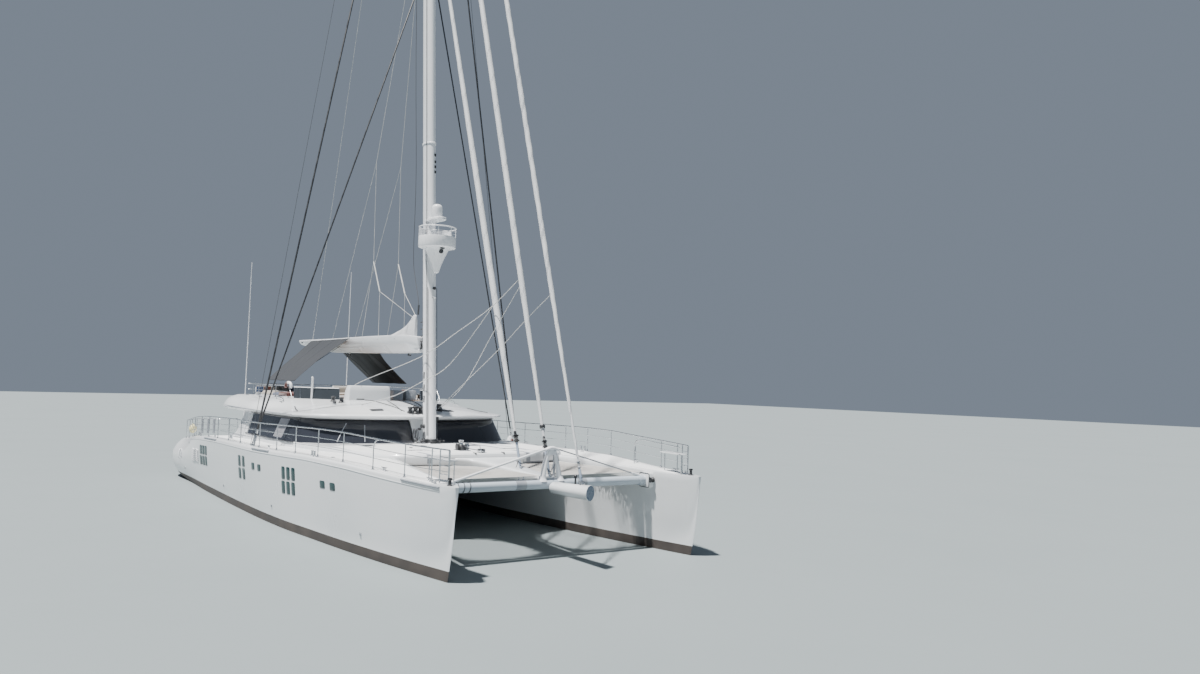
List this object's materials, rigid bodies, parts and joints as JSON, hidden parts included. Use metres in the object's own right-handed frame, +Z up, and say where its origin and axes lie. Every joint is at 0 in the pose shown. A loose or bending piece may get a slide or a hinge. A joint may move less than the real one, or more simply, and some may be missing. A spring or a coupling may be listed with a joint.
{
  "type": "sailing catamaran, 1:2 scale model",
  "caption": "Sailing catamaran at half size: slim hulls, raked mast with furled headsails, boom with shade wings, saloon under a curved coachroof, nets forward.",
  "frame": {"origin": "amidships on the centreline, at the water surface that the yacht floats in", "axes": "+X towards the bows, +Y to port, +Z up"},
  "size_m": [17.8283, 6.79, 26.375],
  "materials": {
    "gel_white": "glossy white gel coat",
    "deck_white": "fine non-slip deck",
    "bottom_paint": "matt dark bottom paint",
    "dark_glass": "dark tinted glass",
    "steel": "polished tube",
    "carbon": "dark composite rigging",
    "net": "woven net",
    "sailcloth": "folded and furled sailcloth",
    "shade_cloth": "grey shade cloth",
    "cushion": "upholstery",
    "teak": "oiled planks",
    "bronze": "cast bronze"
  },
  "bodies": {
    "yacht": {"hull_port": "gel_white", "hull_starboard": "gel_white", "bridge_deck": "gel_white", "saloon_walls": "gel_white", "saloon_bulkhead": "gel_white", "coachroof": "gel_white", "saloon_counter": "gel_white", "flybridge_console": "gel_white", "crossbeam": "gel_white", "bow_pod": "gel_white", "longeron": "gel_white", "striker_frame": "gel_white", "mast": "gel_white", "crows_nest": "gel_white", "buttress_port": "gel_white", "buttress_starboard": "gel_white", "whip_aerial_port": "gel_white", "whip_aerial_starboard": "gel_white", "foredeck_moulding": "deck_white", "keel_port": "bottom_paint", "keel_starboard": "bottom_paint", "side_glass_port": "dark_glass", "side_glass_starboard": "dark_glass", "windscreen_port": "dark_glass", "windscreen_starboard": "dark_glass", "aft_light_glass": "dark_glass", "rail_port": "steel", "rail_starboard": "steel", "flybridge_rail": "steel", "cap_shroud_port": "carbon", "cap_shroud_starboard": "carbon", "lower_shroud_port": "carbon", "lower_shroud_starboard": "carbon", "trampoline_port": "net", "trampoline_starboard": "net", "forestay_inner": "sailcloth", "forestay_middle": "sailcloth", "forestay_outer": "sailcloth", "saloon_sofa": "cushion", "cockpit_sofa": "cushion", "flybridge_seat": "cushion", "flybridge_sofa": "cushion", "cockpit_table": "teak", "flybridge_table": "teak", "shaft_port": "bronze", "shaft_starboard": "bronze"},
    "boom": {"boom": "gel_white", "mainsail": "sailcloth", "awning_port": "shade_cloth", "awning_starboard": "shade_cloth"},
    "rudder_port": {"rudder_port": "bottom_paint"},
    "rudder_starboard": {"rudder_starboard": "bottom_paint"},
    "propeller_port": {"propeller_port": "bronze"},
    "propeller_starboard": {"propeller_starboard": "bronze"},
    "helm_wheel": {"helm_wheel": "steel"},
    "saloon_door": {"saloon_door": "dark_glass"},
    "locker_lid_port": {"locker_lid_port": "deck_white"},
    "locker_lid_starboard": {"locker_lid_starboard": "deck_white"},
    "aft_platform": {"aft_platform": "teak"}
  },
  "joints": [
    {"name": "boom_swing", "type": "hinge", "parent": "yacht", "child": "boom", "pos_m": [2.26, 0, 3.81], "axis": [-0.0946, 0, 0.9955], "range_deg": [-48, 48]},
    {"name": "rudder_starboard_turn", "type": "hinge", "parent": "yacht", "child": "rudder_starboard", "pos_m": [-7.15, -2.4, -0.5], "axis": [0, 0, 1], "range_deg": [-35, 35]},
    {"name": "rudder_port_turn", "type": "hinge", "parent": "yacht", "child": "rudder_port", "pos_m": [-7.15, 2.4, -0.5], "axis": [0, 0, 1], "range_deg": [-35, 35]},
    {"name": "wheel_turn", "type": "hinge", "parent": "yacht", "child": "helm_wheel", "pos_m": [-0.235, -0.625, 2.675], "axis": [1, 0, 0], "range_deg": [-450, 450]},
    {"name": "propeller_starboard_spin", "type": "hinge", "parent": "yacht", "child": "propeller_starboard", "pos_m": [-5.95, -2.4, -0.575], "axis": [0.9958, 0, 0.0911], "continuous": true},
    {"name": "propeller_port_spin", "type": "hinge", "parent": "yacht", "child": "propeller_port", "pos_m": [-5.95, 2.4, -0.575], "axis": [0.9958, 0, 0.0911], "continuous": true},
    {"name": "saloon_door_slide", "type": "slide", "parent": "yacht", "child": "saloon_door", "axis": [0, -1, 0], "range_m": [0, 0.72]},
    {"name": "locker_lid_port_lift", "type": "hinge", "parent": "yacht", "child": "locker_lid_port", "pos_m": [4.396, 1.05, 1.6125], "axis": [0, -1, 0], "range_deg": [0, 80]},
    {"name": "locker_lid_starboard_lift", "type": "hinge", "parent": "yacht", "child": "locker_lid_starboard", "pos_m": [4.396, -1.05, 1.6125], "axis": [0, -1, 0], "range_deg": [0, 80]},
    {"name": "aft_platform_lift", "type": "slide", "parent": "yacht", "child": "aft_platform", "axis": [0, 0, 1], "range_m": [-0.45, 0]}
  ],
  "couplings": [
    {"joint": "rudder_port_turn", "follows": "rudder_starboard_turn", "ratio": 1},
    {"joint": "wheel_turn", "follows": "rudder_starboard_turn", "ratio": 12.8}
  ]
}
